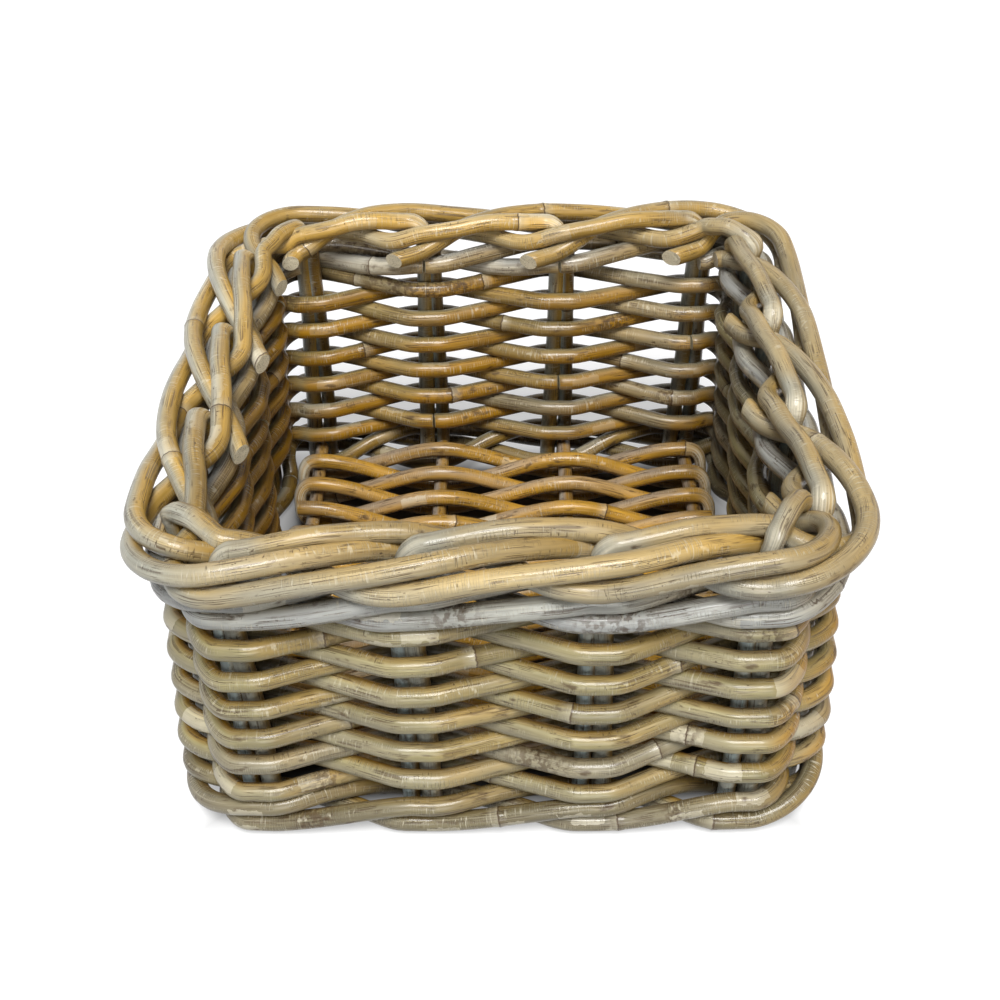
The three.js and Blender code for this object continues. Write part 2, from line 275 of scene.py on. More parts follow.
    # A cane is never quite round, and it swells at its joints.
    lumps = noise_at(tree, skin, (0.45, 0.45, 0.09))
    lump_size = reckon(tree, "MULTIPLY", given["Unevenness"], noise_gain)
    lumpy = reckon(tree, "MULTIPLY", reckon(tree, "SUBTRACT", lumps, 0.5), lump_size)
    near_joint = reckon(tree, "DIVIDE", named("from_joint"), given["Joint Width"])
    fall = reckon(tree, "MULTIPLY", reckon(tree, "MULTIPLY", near_joint, near_joint), -1.0)
    bell = reckon(tree, "EXPONENT", fall)
    swell = reckon(tree, "DIVIDE", reckon(tree, "MULTIPLY", bell, given["Joint Swell"]), radius)
    at_edge = reckon(tree, "LESS_THAN", path["from_end"], edge_width)
    worn_edge = reckon(tree, "MULTIPLY", at_edge, edge_wear)
    grown = reckon(tree, "ADD", reckon(tree, "ADD", lumpy, swell), reckon(tree, "ADD", worn_edge, 1.0))
    shaped = vector_reckon(tree, "SCALE", from_centre, scale=grown)

    # A bent cane is crushed: thinner towards the bend's middle and wider across.
    press = named("press", "FLOAT_VECTOR")
    force = vector_reckon(tree, "LENGTH", press)
    press_way = vector_reckon(tree, "NORMALIZE", press)
    pressed = reckon(tree, "MULTIPLY", vector_reckon(tree, "DOT_PRODUCT", shaped, press_way), force)
    wider = reckon(tree, "ADD", 1.0, reckon(tree, "MULTIPLY", force, bend_widening))
    widened = vector_reckon(tree, "SCALE", shaped, scale=wider)
    thinner = reckon(tree, "MULTIPLY", pressed, bend_thinning)
    thinned = vector_reckon(tree, "SCALE", press_way, scale=thinner)
    crushed = vector_reckon(tree, "ADD", widened, thinned)

    # Its tip is cut off on the slant, so that the cut looks into the basket.
    out = named("out", "FLOAT_VECTOR")
    away = reckon(tree, "DIVIDE", path["to_tip"], given["Diameter"])
    close = reckon(tree, "SUBTRACT", 1.0, away, clamp=True)
    lean = reckon(tree, "MULTIPLY", vector_reckon(tree, "DOT_PRODUCT", crushed, out), given["Cut Slant"])
    sheared = vector_reckon(tree, "SCALE", path["course"], scale=reckon(tree, "MULTIPLY", lean, close))
    final_place = vector_reckon(tree, "ADD", vector_reckon(tree, "ADD", path["centre"], crushed), sheared)
    body = place(tree, "GeometryNodeSetPosition", {
        "Geometry": swept.outputs[0], "Position": final_place,
    }).outputs[0]

    # Painted light: skin that looks into the basket, or to the right, is marked for painted warm amber
    # light, and skin that looks out to the left for painted cool grey light.
    skyward = vector_reckon(tree, "NORMALIZE", from_centre)
    toward_painted_light = vector_reckon(tree, "SUBTRACT", painted_light_way, out)
    facing_painted_light = vector_reckon(tree, "DOT_PRODUCT", skyward, toward_painted_light)

    # Painted shade: skin that looks towards the middle of the weave, or down, is marked to be painted dark,
    # as shade in the crossings and underneath.
    outward = vector_reckon(tree, "DOT_PRODUCT", skyward, out)
    skyward_up = place(tree, "ShaderNodeSeparateXYZ", {"Vector": skyward}).outputs["Z"]
    painted_crevice_shade = reckon(tree, "MULTIPLY", reckon(tree, "MULTIPLY", outward, named("side")), -1.0)
    painted_crevice_shade = reckon(tree, "MULTIPLY_ADD", skyward_up, underside_painted_shade, painted_crevice_shade)
    stored = (
        ("skin", "FLOAT_VECTOR", skin),
        ("painted_light_side", "FLOAT", reckon(tree, "MULTIPLY_ADD", facing_painted_light, 0.5, 0.5)),
        ("painted_crevice_shade", "FLOAT", painted_crevice_shade),
        ("crush", "FLOAT", force),
        ("from_end", "FLOAT", path["from_end"]),
    )
    for name, kind, field in stored:
        body = place(tree, "GeometryNodeStoreNamedAttribute", {
            "Geometry": body, "Name": name, "Value": field,
        }, data_type=kind, domain="POINT").outputs[0]
    for name in ("press", "out", "side"):
        body = place(tree, "GeometryNodeRemoveAttribute", {"Geometry": body, "Name": name}).outputs[0]
    not_cut = reckon(tree, "GREATER_THAN", path["from_end"], cut_width)
    body = place(tree, "GeometryNodeSetShadeSmooth", {
        "Geometry": body, "Shade Smooth": not_cut,
    }, domain="FACE").outputs[0]
    body = place(tree, "GeometryNodeRealizeInstances", {"Geometry": body}).outputs[0]
    body = place(tree, "GeometryNodeSetMaterial", {
        "Geometry": body, "Material": given["Material"],
    }).outputs[0]
    place(tree, "NodeGroupOutput", {"Geometry": body})
    return tree


cane_body = cane_body_tree()


def linear(hexadecimal):
    channels = [((hexadecimal >> shift) & 255) / 255 for shift in (16, 8, 0)]
    return [c / 12.92 if c <= 0.04045 else ((c + 0.055) / 1.055) ** 2.4 for c in channels] + [1.0]


def mixed(tree, factor, first, second, way="MIX"):
    node = tree.nodes.new("ShaderNodeMix")
    node.data_type = "RGBA"
    node.blend_type = way
    feed(tree, node.inputs[0], factor)
    feed(tree, node.inputs[6], first)
    feed(tree, node.inputs[7], second)
    return node.outputs[2]


def cane_skin_group():
    """The skin of a cane: painted warm and cool light, fibres, breaks, flakes, stains, scars, joints, bends,
    painted shade and cut pith.
    """
    tree = bpy.data.node_groups.new("cane_skin", "ShaderNodeTree")
    for name in ("Outside", "Inside", "Grey", "Pale", "Stain", "Painted Shade"):
        tree.interface.new_socket(name, in_out="INPUT", socket_type="NodeSocketColor")
    for name in ("Inside Share", "Streaks", "Cracks", "Crazing", "Flakes", "Stains"):
        tree.interface.new_socket(name, in_out="INPUT", socket_type="NodeSocketFloat")
    tree.interface.new_socket("Color", in_out="OUTPUT", socket_type="NodeSocketColor")
    for name in ("Roughness", "Height"):
        tree.interface.new_socket(name, in_out="OUTPUT", socket_type="NodeSocketFloat")
    given = tree.nodes.new("NodeGroupInput").outputs

    def read(name, output="Fac"):
        return place(tree, "ShaderNodeAttribute", attribute_name=name).outputs[output]

    def pattern(across, along, detail):
        return noise_at(tree, skin, (across, across, along), detail)

    def step(field, low, high):
        return step_between(tree, field, low, high)

    def scaled(field, factor, offset):
        return reckon(tree, "MULTIPLY_ADD", field, factor, offset)

    def product(first, *others):
        return reckon(tree, "MULTIPLY", first, product(*others)) if others else first

    def near(field, level, outer, inner):
        return step(reckon(tree, "ABSOLUTE", reckon(tree, "SUBTRACT", field, level)), outer, inner)

    def painted(color, over, *shares):
        return mixed(tree, product(*shares), color, given[over])

    def dimmed(color, tone):
        tones = place(tree, "ShaderNodeCombineXYZ", {"X": tone, "Y": tone, "Z": tone})
        return mixed(tree, 1.0, color, tones.outputs[0], "MULTIPLY")

    skin = read("skin", "Vector")
    cast = place(tree, "ShaderNodeSeparateXYZ", {"Vector": read("cast", "Vector")}).outputs
    slow = pattern(across=0.5, along=0.11, detail=3.0)
    patchy = pattern(across=1.1, along=0.3, detail=2.0)

    # Painted light: skin marked for warm light is painted amber and skin marked for cool light grey, more on
    # one cane than on another; each cane's own weathering greys its less amber skin.
    painted_light_warmth = reckon(tree, "ADD", read("painted_light_side"), scaled(slow, 0.7, -0.35))
    painted_amber_share = product(step(painted_light_warmth, 0.1, 1.0), given["Inside Share"])
    color = mixed(tree, painted_amber_share, given["Outside"], given["Inside"])
    color = painted(color, "Grey", step(painted_light_warmth, 0.1, -0.4), 0.7)
    color = painted(color, "Grey", cast["Y"], step(painted_light_warmth, 1.3, 0.2))

    # Slow changes of tone, and fibres along the cane
    color = dimmed(color, reckon(tree, "ADD", scaled(slow, 1.2, 0.4), scaled(patchy, 0.7, -0.35)))
    weathered = step(pattern(across=0.35, along=0.05, detail=2.0), 0.52, 0.66)
    color = painted(color, "Grey", weathered, scaled(painted_amber_share, -0.3, 0.4))
    fibres = pattern(across=4.5, along=0.12, detail=4.0)
    dark_fibre = product(step(fibres, 0.5, 0.28), given["Streaks"])
    color = painted(color, "Stain", dark_fibre, 0.5)
    pale_fibre = product(step(fibres, 0.6, 0.8), given["Streaks"])
    color = painted(color, "Pale", pale_fibre, 0.45)

    # Cracks: hair lines along the cane, on some stretches
    line = near(pattern(across=5.0, along=0.06, detail=1.0), 0.5, outer=0.05, inner=0.015)
    crack = product(line, step(patchy, 0.48, 0.56), given["Cracks"])
    color = painted(color, "Stain", crack, 0.85)

    # Crazing: short pale breaks across the cane
    breaks = pattern(across=0.22, along=3.2, detail=0.0)
    tick = near(breaks, 0.5, outer=0.035, inner=0.008)
    crazed_here = step(pattern(across=0.9, along=0.16, detail=2.0), 0.46, 0.58)
    craze = product(tick, crazed_here, given["Crazing"])
    color = painted(color, "Pale", craze, 0.42)

    # Splits: short dark breaks across the cane, away from the pale ones
    split_here = step(pattern(across=1.4, along=0.25, detail=2.0), 0.56, 0.66)
    split = product(near(breaks, 0.42, outer=0.02, inner=0.004), split_here)
    color = painted(color, "Stain", split, 0.8)

    # Flakes: sharp-edged patches where the sheath's pale film has stayed on
    skin_x, skin_y, skin_z = place(tree, "ShaderNodeSeparateXYZ", {"Vector": skin}).outputs
    ragged = scaled(pattern(across=1.2, along=1.2, detail=3.0), 0.6, -0.3)
    turned = scaled(reckon(tree, "ARCTAN2", skin_y, skin_x), 0.48, ragged)
    moved = scaled(skin_z, 0.3, product(ragged, 0.3))
    cell = place(tree, "ShaderNodeCombineXYZ", {
        "X": reckon(tree, "FLOOR", turned), "Y": reckon(tree, "FLOOR", moved),
    }).outputs[0]
    drawn = place(tree, "ShaderNodeTexWhiteNoise", {"Vector": cell}, noise_dimensions="3D").outputs["Value"]
    flake = reckon(tree, "LESS_THAN", drawn, given["Flakes"])
    color = painted(color, "Pale", flake, scaled(painted_amber_share, -0.25, 0.38))

    # Stains: dark mottles and specks
    stain_from = reckon(tree, "SUBTRACT", 0.86, given["Stains"])
    stain_full = reckon(tree, "SUBTRACT", 0.96, given["Stains"])
    stained = step(pattern(across=1.0, along=0.45, detail=6.0), stain_from, stain_full)
    color = painted(color, "Stain", stained, 0.8)
    specks = pattern(across=5.0, along=2.2, detail=1.0)
    speckled = product(step(specks, 0.68, 0.74), step(patchy, 0.48, 0.58))
    color = painted(color, "Stain", speckled, 0.75)

    # Scars: stretches where the skin is rough, dark and broken across
    scar = product(cast["Z"], step(pattern(across=1.6, along=1.9, detail=4.0), 0.44, 0.56))
    color = painted(color, "Stain", scar, 0.7)

    # Joints: a dark ring between a pale band and a brown one
    frayed = scaled(pattern(across=2.0, along=0.1, detail=2.0), 1.6 * mm, -0.8 * mm)
    beside = reckon(tree, "ADD", read("from_joint"), frayed)
    distance = reckon(tree, "ABSOLUTE", beside)
    before = product(step(distance, 7 * mm, 1 * mm), reckon(tree, "LESS_THAN", beside, 0.0))
    color = painted(color, "Pale", before, 0.25)
    after = product(step(distance, 4 * mm, 0.3 * mm), reckon(tree, "GREATER_THAN", beside, 0.0))
    color = painted(color, "Stain", after, 0.35)
    ring = step(distance, 0.55 * mm, 0.2 * mm)
    color = painted(color, "Stain", ring, 0.85)

    # Crushed bends: the fibres open, turn pale and wrinkle
    crush = read("crush")
    opened = product(crush, step(fibres, 0.35, 0.62))
    color = mixed(tree, reckon(tree, "MULTIPLY", opened, 0.85, clamp=True), color, given["Pale"])
    wrinkled = product(pattern(across=2.2, along=5.0, detail=3.0), crush)

    # Painted shade, where the skin lies deep in the weave or looks down
    deep = scaled(slow, 0.4, read("painted_crevice_shade"))
    color = painted(color, "Painted Shade", step(deep, 0.2, 1.05), 0.9)

    # Cut ends: pale pith with pores
    pores = place(tree, "ShaderNodeTexVoronoi", {
        "Vector": place(tree, "ShaderNodeTexCoord").outputs["Object"], "Scale": 1400.0,
    }).outputs["Distance"]
    pith = mixed(tree, step(pores, 0.35, 0.15), given["Pale"], given["Stain"])
    cut = step(read("from_end"), 0.12 * mm, 0.04 * mm)
    color = mixed(tree, cut, color, mixed(tree, 0.3, pith, given["Outside"]))
    color = dimmed(color, cast["X"])

    # The skin shines where it is whole, and every mark stands out of it or lies in it.
    dull = reckon(tree, "ADD", reckon(tree, "ADD", stained, scar), reckon(tree, "ADD", cut, crush))
    rough = reckon(tree, "MULTIPLY_ADD", dull, 0.25, scaled(slow, 0.3, 0.24), clamp=True)
    height = scaled(fibres, 0.5, product(crack, -0.9))
    height = reckon(tree, "ADD", height, scaled(flake, 0.18, product(scar, -0.8)))
    breaks_across = reckon(tree, "ADD", craze, split)
    for mark, depth in ((breaks_across, -0.8), (speckled, -0.5), (ring, -0.6), (wrinkled, 1.2)):
        height = reckon(tree, "ADD", height, product(mark, depth))
    place(tree, "NodeGroupOutput", {"Color": color, "Roughness": rough, "Height": height})
    return tree


cane_skin = cane_skin_group()
usual_amounts = {
    "Inside Share": 1.0, "Streaks": 0.5, "Cracks": 0.8, "Crazing": 0.8, "Flakes": 0.03, "Stains": 0.25,
}
relief_depth = 0.4 * mm


def cane_finish(
    name, outside, inside, grey=0x9A9289, pale=0xE0D8C0, stain=0x4A3620, crevice_shade=0x120C06, **amounts,
):
    finish = bpy.data.materials.new(name)
    finish.use_nodes = True
    tree = finish.node_tree
    skin = tree.nodes.new("ShaderNodeGroup")
    skin.node_tree = cane_skin
    # Painted Shade is the dark colour of the painted shade in crevices and underneath
    colors = {
        "Outside": outside, "Inside": inside, "Grey": grey, "Pale": pale, "Stain": stain, "Painted Shade": crevice_shade,
    }
    for socket, color in colors.items():
        skin.inputs[socket].default_value = linear(color)
    for socket, amount in (usual_amounts | amounts).items():
        skin.inputs[socket].default_value = amount
    shader = tree.nodes["Principled BSDF"]
    tree.links.new(skin.outputs["Color"], shader.inputs["Base Color"])
    tree.links.new(skin.outputs["Roughness"], shader.inputs["Roughness"])
    relief = place(tree, "ShaderNodeBump", {
        "Height": skin.outputs["Height"], "Strength": 0.8, "Distance": relief_depth,
    })
    tree.links.new(relief.outputs[0], shader.inputs["Normal"])
    shader.inputs["Specular IOR Level"].default_value = 0.25
    shader.inputs["Coat Weight"].default_value = 0.35
    shader.inputs["Coat Roughness"].default_value = 0.16
    return finish


chance = random.Random(7)
joint_spacing = 380 * mm
joint_spacing_spread = (0.7, 1.3)
first_joint_spread = (0.1, 0.9)
no_joint = 1000 * mm
thickness_spread = (0.95, 1.03)
skin_shifts = (0, 900)


def joints_along(length, first):
    """Where a cane's joints lie, from its first one on: about a forearm's length apart."""
    places = []
    at = first
    while at < length:
        places.append(at)
        at += joint_spacing * chance.uniform(*joint_spacing_spread)
    return places


def add_cane(
    name, points, diameter, finish, slot, outs, press=None, cast=(1, 0), joints=None, weathering=None,
    scars=None, sides=None, **sizes,
):
    """One cane as an object that replaces the solid of its name. points is its middle line, cast its
    lightness and greyness, and joints the numbers of the points where it has a joint. Point by point, outs
    is the way out of the basket, press the crush of a bend, weathering the greyness where it changes, scars
    how scarred the skin is, and sides how far it lies outside the middle of the weave, from -1 to 1."""
    lengths = [0.0]
    for before, after in zip(points, points[1:]):
        lengths.append(lengths[-1] + (after - before).length)
    joints = [lengths[at] for at in joints or []]
    joints = joints or joints_along(lengths[-1], chance.uniform(*first_joint_spread) * joint_spacing)
    path = bpy.data.meshes.new(name)
    path.from_pydata(points, [(i, i + 1) for i in range(len(points) - 1)], [])
    press = press or [Vector()] * len(points)
    greys = weathering or [cast[1]] * len(points)
    casts = [(cast[0], grey, scar) for grey, scar in zip(greys, scars or [0.0] * len(points))]
    for label, rows in (("out", outs), ("press", press), ("cast", casts)):
        layer = path.attributes.new(label, "FLOAT_VECTOR", "POINT")
        layer.data.foreach_set("vector", [number for row in rows for number in row])
    nearest = [min((at - joint for joint in joints), key=abs, default=no_joint) for at in lengths]
    path.attributes.new("from_joint", "FLOAT", "POINT").data.foreach_set("value", nearest)
    path.attributes.new("side", "FLOAT", "POINT").data.foreach_set("value", sides or [0.0] * len(points))
    line = bpy.data.objects.new(name + "_line", path)
    bpy.context.scene.collection.objects.link(line)
    modifier = line.modifiers.new("cane", "NODES")
    modifier.node_group = cane_body
    items = cane_body.interface.items_tree
    sockets = {item.name: item.identifier for item in items if item.in_out == "INPUT"}
    usual_sizes = {
        "Diameter": diameter * chance.uniform(*thickness_spread), "Seed": chance.uniform(*skin_shifts),
        "Material": finish,
    }
    for label, value in (usual_sizes | sizes).items():
        modifier[sockets[label]] = value
    bpy.context.view_layer.update()
    evaluated = line.evaluated_get(bpy.context.evaluated_depsgraph_get())
    mesh = bpy.data.meshes.new_from_object(evaluated)
    bpy.data.objects.remove(line)
    bpy.data.meshes.remove(path)
    mesh.name = name + "_cane"
    cane = bpy.data.objects.new(name + "_cane", mesh)
    bpy.context.scene.collection.objects.link(cane)
    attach(cane, "root")
    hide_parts(name)


def middle(node):
    low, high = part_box(node)
    return (low + high) / 2


def thickness(node):
    low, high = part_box(node)
    return high.z - low.z


def line_points(first, last, step=5 * mm):
    count = max(2, round((last - first).length / step))
    return [first.lerp(last, i / count) for i in range(count + 1)]


upwards = Vector((0, 0, 1))
pairs_per_side = 4
base_stick_lightness = (0.9, 1.1)
base_stick_finish = cane_finish("base_stick_cane", 0xA07830, 0xA07830, Stains=0.28)
for number in range(1, pairs_per_side + 1):
    node = f"base_stick_{number}"
    low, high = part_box(node)
    along = middle(node)
    points = line_points(Vector((along.x, low.y, along.z)), Vector((along.x, high.y, along.z)))
    add_cane(
        node, points, thickness(node), base_stick_finish, "base_rattan", [upwards] * len(points),
        cast=(chance.uniform(*base_stick_lightness), 0.0),
    )


# The base weavers: long canes woven from side to side over and under the sticks. At the outer stick a
# weaver folds round the stick and comes back, and the fold is crushed and pale.
def ease(x):
    return x * x * (3 - 2 * x)


base_weaver_diameter = 10 * mm
stick_places = [middle(f"base_stick_{number}").x for number in range(1, pairs_per_side + 1)]
stick_height = middle("base_stick_1").z
base_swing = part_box("base_weaver_1")[1].z - base_weaver_diameter / 2 - stick_height
base_pass_count = 22
base_weaver_count = 4
base_end_length = 8 * mm
base_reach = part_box("base_weaver_4")[1].y - base_weaver_diameter / 2
run_steps = 20
fold_steps = 12
fold_squareness = 0.7
# How much painted shade the base's crevices get
base_crevice_shade = 0.7
base_weaver_lightness = (0.92, 1.08)
base_weaver_finish = cane_finish("base_weaver_cane", 0xB48830, 0xB48830, Stains=0.25, Flakes=0.03)


def pass_y(number):
    return base_reach * (2 * number / (base_pass_count - 1) - 1)


def base_weaver_path(first_pass, last_pass):
    points = []
    presses = []
    outer = stick_places[-1]

    def add(x, y, rise, press=Vector()):
        points.append(Vector((x, y, stick_height + rise)))
        presses.append(press)

    for number in range(first_pass, last_pass + 1):
        heading = -1 if (number - first_pass) % 2 else 1
        y = pass_y(number)
        starts_over = -1 if (number + (0 if heading > 0 else pairs_per_side - 1)) % 2 else 1
        if number == first_pass:
            add(-heading * (outer + base_end_length), y, starts_over * base_swing)
        for stick in range(pairs_per_side):
            side = -starts_over if stick % 2 else starts_over
            here = heading * stick_places[stick]
            add(here, y, side * base_swing)
            if stick < pairs_per_side - 1:
                there = heading * stick_places[stick + 1]
                for step in range(1, run_steps):
                    part = step / run_steps
                    add(here + (there - here) * part, y, side * base_swing * (1 - 2 * ease(part)))
        ends_over = -starts_over if (pairs_per_side - 1) % 2 else starts_over
        if number == last_pass:
            add(heading * (outer + base_end_length), y, ends_over * base_swing)
            continue
        for step in range(1, fold_steps):
            angle = step / fold_steps * math.pi
            level = math.copysign(abs(math.cos(angle)) ** fold_squareness, math.cos(angle))
            way = Vector((heading * math.sin(angle) ** fold_squareness, 0, ends_over * level))
            across = y + (pass_y(number + 1) - y) * ease(step / fold_steps)
            add(heading * outer + base_swing * way.x, across, base_swing * way.z, way * math.sin(angle))
    return points, presses


for number in range(base_weaver_count):
    first_pass = round(base_pass_count * number / base_weaver_count)
    last_pass = round(base_pass_count * (number + 1) / base_weaver_count) - 1
    points, presses = base_weaver_path(first_pass, last_pass)
    add_cane(
        f"base_weaver_{number + 1}", points, base_weaver_diameter, base_weaver_finish, "base_rattan",
        [upwards] * len(points), presses, cast=(chance.uniform(*base_weaver_lightness), 0.0),
        sides=[base_crevice_shade * (point.z - stick_height) / base_swing for point in points],
    )


# The stakes: straight canes that stand in pairs round the wall, four pairs to a side. In each pair the
# bypass stake ends under the border, and its neighbour goes on to make the border. Outside they are
# painted a cool blue-grey: partly their weathered grey, partly painted cool shade between the rows.
wall_half_width = middle("bypass_stake_right_1").x
wall_half_depth = middle("bypass_stake_back_1").y
corner_radius = 28 * mm
corner_to_pair = 30 * mm
clearance = 0.3 * mm
stake_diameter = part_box("bypass_stake_front_1")[1].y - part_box("bypass_stake_front_1")[0].y
pair_half = (stake_diameter + clearance) / 2
pair_count = 4 * pairs_per_side
side_names = ("front", "right", "back", "left")
corner_arc = math.pi / 2 * corner_radius


def side_half(side):
    return wall_half_depth if side % 2 else wall_half_width


def side_reach(side):
    return wall_half_width if side % 2 else wall_half_depth


def straight_half(side):
    return side_half(side) - corner_radius


def side_start(side):
    return sum(2 * straight_half(before) + corner_arc for before in range(side))


wall_length = side_start(4)


def on_wall(arc):
    """The place on the wall's line and its outward direction, anticlockwise from the front's left end."""
    rest = arc % wall_length
    side = 0
    while rest > 2 * straight_half(side) + corner_arc:
        rest -= 2 * straight_half(side) + corner_arc
        side += 1
    turn = side * math.pi / 2
    along = Vector((math.cos(turn), math.sin(turn), 0))
    out = Vector((math.sin(turn), -math.cos(turn), 0))
    if rest <= 2 * straight_half(side):
        return out * side_reach(side) + along * (rest - straight_half(side)), out
    angle = (rest - 2 * straight_half(side)) / corner_radius
    outward = out * math.cos(angle) + along * math.sin(angle)
    centre = along * straight_half(side) + out * (side_reach(side) - corner_radius)
    return centre + outward * corner_radius, outward


def pair_arc(index):
    """The distance along the wall of a pair of stakes. Index 0 is the front left pair."""
    turns, in_turn = divmod(index, pair_count)
    side, place_on_side = divmod(in_turn, pairs_per_side)
    spacing = 2 * (side_half(side) - corner_to_pair) / (pairs_per_side - 1)
    offset = (place_on_side - (pairs_per_side - 1) / 2) * spacing
    return turns * wall_length + side_start(side) + straight_half(side) + offset


def station_arc(station):
    index = math.floor(station)
    return pair_arc(index) + (pair_arc(index + 1) - pair_arc(index)) * (station - index)


def soft_step(x, bend):
    """From 0 to 1 in a straight run, with a soft bend at each end."""
    if x > 0.5:
        return 1 - soft_step(1 - x, bend)
    if x < bend:
        return x * x / (2 * bend * (1 - bend))
    return (x - bend / 2) / (1 - bend)


def through(keys, at):
    """The value at a place on a smooth curve through (place, value) keys."""
    places = [key for key, _ in keys]
    values = [value for _, value in keys]
    if at <= places[0]:
        return values[0]
    if at >= places[-1]:
        return values[-1]
    last = max(i for i in range(len(keys) - 1) if places[i] <= at)

    def slope(i):
        before, after = max(i - 1, 0), min(i + 1, len(keys) - 1)
        return (values[after] - values[before]) / (places[after] - places[before])

    reach = places[last + 1] - places[last]
    part = (at - places[last]) / reach
    rest = 1 - part
    from_last = values[last] * rest * rest * (1 + 2 * part)
    from_keys = from_last + values[last + 1] * part * part * (1 + 2 * rest)
    from_slopes = slope(last) * rest * rest * part - slope(last + 1) * part * part * rest
    return from_keys + from_slopes * reach


# How the basket stands out of true: the shift of each pair along the wall, the height that the rows and the
# rim have crept up or down near each pair, the way the side walls narrow under the rim, and the sag of the
# border's outer side at the back. All rods of the wall follow. Heights and leans are in millimetres.
pair_shifts = [shift * mm for shift in (-2, 0, 5.5, 0, 0, -2, 0, 0, 2, 5, 6, 0, 0, 0, 0, 0)]
pair_lifts = [lift * mm for lift in (3, 0, 0, 6, 4, 1, 0, 0, 0, 0, 0, 0, 0, 0, 1, 2)]
side_leans = ((0.0, 2.0), (45, 1.5), (100, -2.0), (145, -5.5), (175, -3.0), (205, 0.0))
row_lift_shares = ((8, 0.0), (45, 1.0), (140, 0.8), (175, 0.0))
rim_lifts = [lift * mm for lift in (1, 2, 4.5, 8, 1, -1, -1, -1.5, -3.5, -4, -4, -4.5, -4, -5, -3.5, -0.5)]
rim_rise_shares = ((165, 0.0), (178, 1.0))
rim_sink_shares = ((140, 0.0), (172, 1.0))
border_sags = (0, 0, 0, 0, 0.1, 0.2, 0.3, 0.3, 0.3, 0.3, 0.3, 0.3, 0.3, 0.3, 0.3, 0.2)


def step_in(x, low, high):
    return ease(min(max((x - low) / (high - low), 0), 1))


def at_pairs(values, arc):
    station = 0
    rest = arc % wall_length
    while station < pair_count - 1 and pair_arc(station + 1) <= rest:
        station += 1
    if rest < pair_arc(0):
        station, rest = pair_count - 1, rest + wall_length
    part = (rest - pair_arc(station)) / (pair_arc(station + 1) - pair_arc(station))
    return values[station] + (values[(station + 1) % pair_count] - values[station]) * ease(part)


def in_wall(arc, offset, height):
    """A point this far outside the wall's line, at a height, and the outward direction there."""
    point, out = on_wall(arc + at_pairs(pair_shifts, arc))
    lean = through(side_leans, height / mm) * mm * out.x * out.x
    lift = at_pairs(pair_lifts, arc) * through(row_lift_shares, height / mm)
    rim_lift = at_pairs(rim_lifts, arc)
    lift += rim_lift * through(rim_rise_shares if rim_lift > 0 else rim_sink_shares, height / mm)
    sag = at_pairs(border_sags, arc) * max(offset, 0) * through(rim_rise_shares, height / mm)
    point = point + out * (offset + lean)
    point.z = height + lift - sag
    return point, out


def stake_name(pair):
    return f"{side_names[pair // pairs_per_side]}_{pair % pairs_per_side + 1}"


# Painted shade: the blue tint of the stakes' outside stands for the cool shade between the rows
stake_finish = cane_finish("stake_cane", 0xB0BEBC, 0x846426, grey=0xA2AEAE, Flakes=0.06)
bypass_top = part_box("bypass_stake_front_1")[1].z
bypass_diameter = 9 * mm
stake_steps = 40
# How much painted shade the stakes get
stake_crevice_shade = 0.3
stake_lightness = (0.88, 1.05)
for pair in range(pair_count):
    heights = [bypass_top * step / stake_steps for step in range(stake_steps + 1)]
    points = [in_wall(pair_arc(pair) - pair_half, 0, height)[0] for height in heights]
    out = on_wall(pair_arc(pair))[1]
    add_cane(
        "bypass_stake_" + stake_name(pair), points, bypass_diameter, stake_finish, "stake_rattan",
        [out] * len(points), cast=(chance.uniform(*stake_lightness), 0.0), sides=[stake_crevice_shade] * len(points),
    )


# The bottom wale closes the foot of the wall. Three canes take turns: each goes inside one pair, comes out
# low, lies outside the next two, and climbs over the cane that follows it. They have weathered to a dull
# khaki.
wale_diameter = 10.5 * mm
wale_offset = (stake_diameter + wale_diameter) / 2 + clearance
wale_bulge = 1 * mm
wale_bend = 0.22
# How much painted shade the wale's crevices get
wale_crevice_shade = 0.5
end_gap = 0.5 * mm
path_steps = 22


def joints_at(stations, places):
    """The points nearest to these places, in pairs from the front left one."""
    return [min(range(len(stations)), key=lambda i: abs(stations[i] - at)) for at in places]


def scars_at(stations, marks):
    """How scarred each point is: marks are the middles and half lengths of the scars, in pairs."""
    return [
        max([math.exp(-((at - centre) / half) ** 2) for centre, half in marks] + [0.0]) for at in stations
    ]


def laid_in_wall(course, reach, crevice_shade):
    """The points of a course round the wall, the way out at each, its place in pairs from the front left
    one, and its side, which sets its painted shade. The course lists how far along the wall and outside its
    line each point is, its height and its place in pairs."""
    laid = [in_wall(arc, offset, height) for arc, offset, height, _ in course]
    points = [point for point, _ in laid]
    outs = [out for _, out in laid]
    stations = [station % pair_count for _, _, _, station in course]
    sides = [crevice_shade * offset / reach for _, offset, _, _ in course]
    return points, outs, stations, sides


